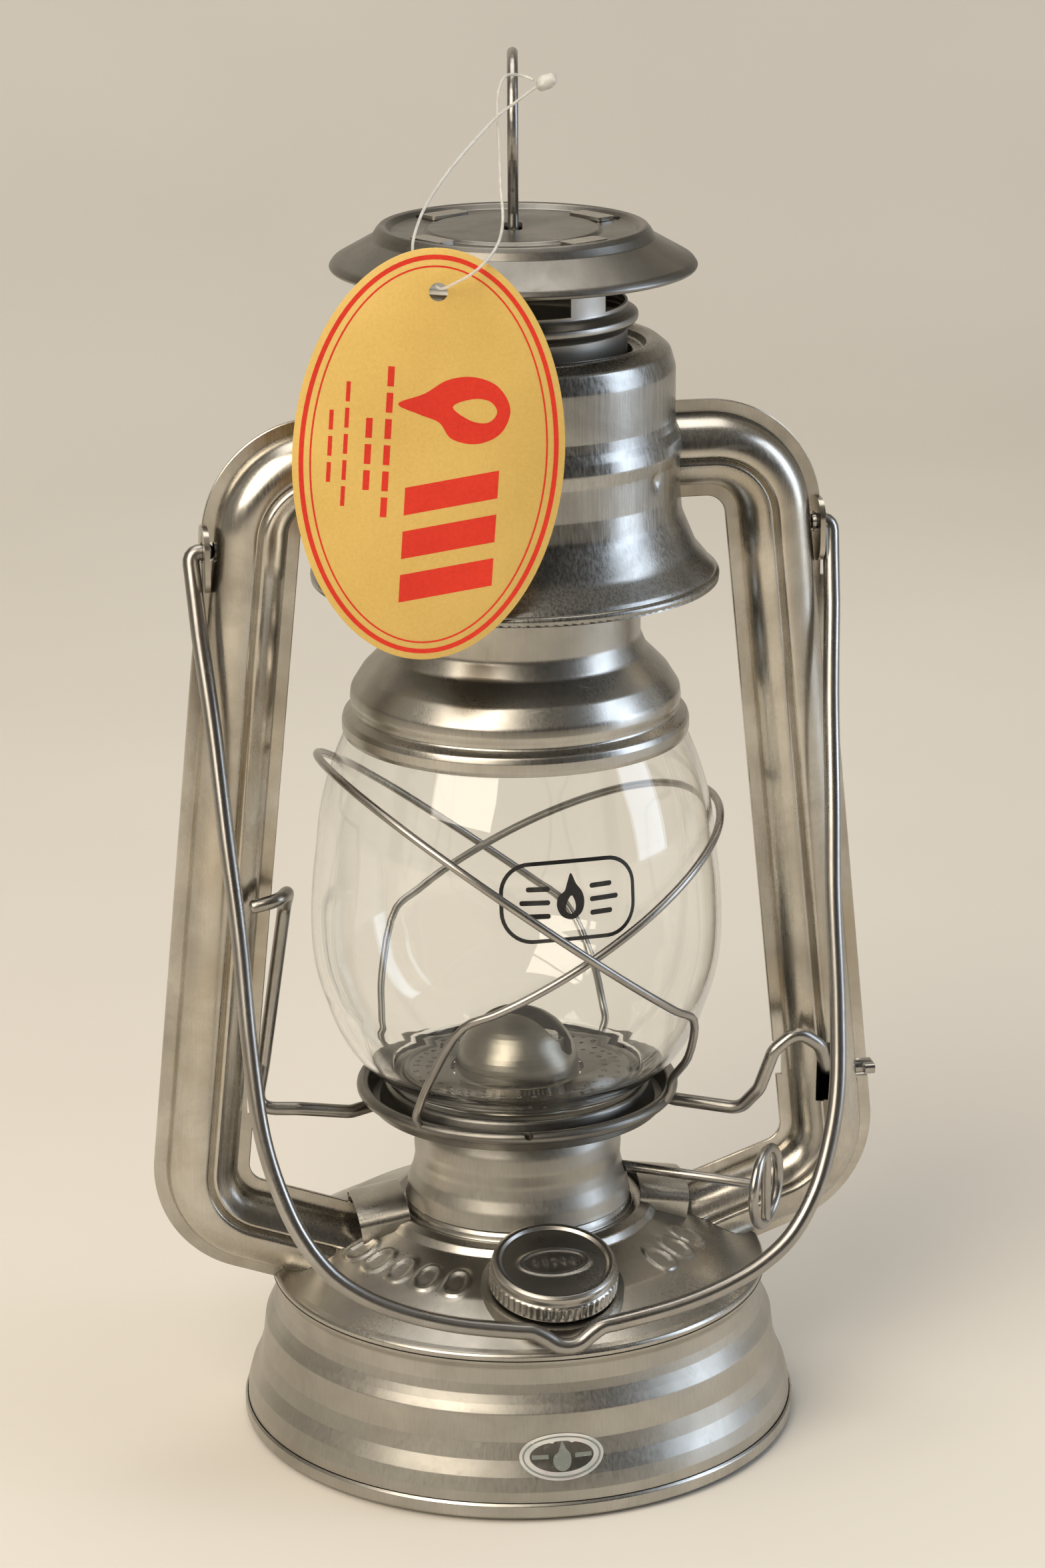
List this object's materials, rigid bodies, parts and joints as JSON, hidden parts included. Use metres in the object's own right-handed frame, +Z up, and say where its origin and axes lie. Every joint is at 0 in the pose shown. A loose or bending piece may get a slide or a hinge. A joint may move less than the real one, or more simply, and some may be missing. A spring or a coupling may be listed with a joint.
{
  "type": "barn lantern",
  "caption": "Tubular oil lantern with a glass globe, side air tubes, screw-capped tank, wick raiser, globe lift lever and swinging bail handle.",
  "frame": {"origin": "centre of the base, on the surface it stands on", "axes": "+Z up, -Y to the front where the filler cap is, X through the two side tubes"},
  "size_m": [0.1359, 0.1032, 0.254],
  "materials": {
    "tinplate": "bright tin-plated steel, lightly brushed",
    "bright_tin": "bright tin-plated steel, glossier",
    "wire": "drawn plated wire",
    "burner_metal": "plated steel, slightly warm",
    "wick_cotton": "woven cotton",
    "gasket": "matt",
    "globe_glass": "clear blown glass",
    "tag_card": "printed card, buff with red lines",
    "clear_plastic": "translucent thread and moulded clasp"
  },
  "bodies": {
    "frame": {"tank_bottom": "tinplate", "tank_body": "tinplate", "tank_dome": "tinplate", "filler_neck": "tinplate", "burner_collar": "tinplate", "burner_cup": "burner_metal", "burner_deck": "burner_metal", "burner_dome": "burner_metal", "wick_tube": "burner_metal", "bell": "bright_tin", "chimney_spring": "wire", "side_tube_left": "tinplate", "side_tube_right": "tinplate", "air_duct_left": "tinplate", "air_duct_right": "tinplate"},
    "bail": {"bail_handle": "wire"},
    "lever": {"lift_lever": "wire"},
    "globe_carriage": {"globe_plate": "tinplate", "glass_globe": "globe_glass", "guard_wire_right": "wire", "guard_wire_left": "wire"},
    "chimney": {"globe_cap": "tinplate", "chimney_tube": "tinplate", "hood": "tinplate", "lift_ring": "wire", "hang_tag": "tag_card", "tag_string": "clear_plastic", "tag_clasp": "clear_plastic"},
    "wick_raiser": {"wick_shaft": "wire", "spur_wheel_1": "burner_metal", "spur_wheel_2": "burner_metal", "thumb_ring": "wire"},
    "wick": {"wick": "wick_cotton"},
    "cap_seal": {"cap_gasket": "gasket"},
    "cap": {"filler_cap": "bright_tin"}
  },
  "joints": [
    {"name": "bail_swing", "type": "hinge", "parent": "frame", "child": "bail", "pos_m": [0, 0, 0.1675], "axis": [-1, 0, 0], "range_deg": [0, 320]},
    {"name": "lever_lift", "type": "hinge", "parent": "frame", "child": "lever", "pos_m": [0, 0, 0.0616], "axis": [1, 0, 0], "range_deg": [0, 37]},
    {"name": "globe_rise", "type": "slide", "parent": "frame", "child": "globe_carriage", "axis": [0, 0, 1], "range_m": [0, 0.014], "deforming": ["chimney_spring"]},
    {"name": "chimney_pull", "type": "slide", "parent": "globe_carriage", "child": "chimney", "axis": [0, 0, 1], "range_m": [0, 0.011], "stiffness_N_per_m": 150, "springref_m": -0.008, "deforming": ["chimney_spring"]},
    {"name": "wick_turn", "type": "hinge", "parent": "frame", "child": "wick_raiser", "pos_m": [0.00414, 0.00637, 0.0468], "axis": [-0.8387, 0.5446, 0], "range_deg": [0, 102]},
    {"name": "wick_rise", "type": "slide", "parent": "frame", "child": "wick", "axis": [0, 0, 1], "range_m": [0, 0.01]},
    {"name": "cap_rise", "type": "slide", "parent": "frame", "child": "cap_seal", "axis": [0, -0.2588, 0.9659], "range_m": [0, 0.00451]},
    {"name": "cap_turn", "type": "hinge", "parent": "cap_seal", "child": "cap", "pos_m": [0, -0.0327, 0.0374], "axis": [0, -0.2588, 0.9659], "range_deg": [0, 540]}
  ],
  "couplings": [
    {"joint": "lever_lift", "follows": "globe_rise", "rad_per_m": 46.12},
    {"joint": "wick_rise", "follows": "wick_turn", "m_per_rad": 0.0056},
    {"joint": "cap_rise", "follows": "cap_turn", "m_per_rad": 0.00047746}
  ]
}
